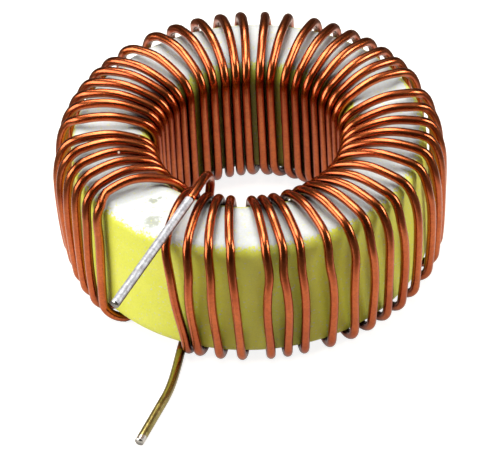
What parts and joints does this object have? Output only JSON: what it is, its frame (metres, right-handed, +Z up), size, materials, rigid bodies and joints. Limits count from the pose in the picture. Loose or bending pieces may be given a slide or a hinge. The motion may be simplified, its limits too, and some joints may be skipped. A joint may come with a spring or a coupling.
{
  "type": "toroidal power inductor",
  "caption": "Through-hole toroidal power inductor: a yellow and white painted ring core wound with a single layer of enamelled copper wire that ends in straight tinned leads.",
  "frame": {"origin": "on the axis of the ring, in the plane that the underside of the winding rests on", "axes": "+Z up along the axis of the ring; the leads leave towards -Y and a little towards -X; +X to the right seen from the side of the leads"},
  "size_m": [0.0298, 0.0368, 0.0137],
  "materials": {
    "core_paint": "satin paint, yellow on the wall and in the hole, white on the top face",
    "enamelled_copper": "glossy enamel over copper",
    "tin": "dipped tin, slightly mottled"
  },
  "bodies": {
    "root": {"core": "core_paint", "winding": "enamelled_copper", "upper_lead_tin": "tin", "lower_lead_tin": "tin"}
  },
  "joints": []
}
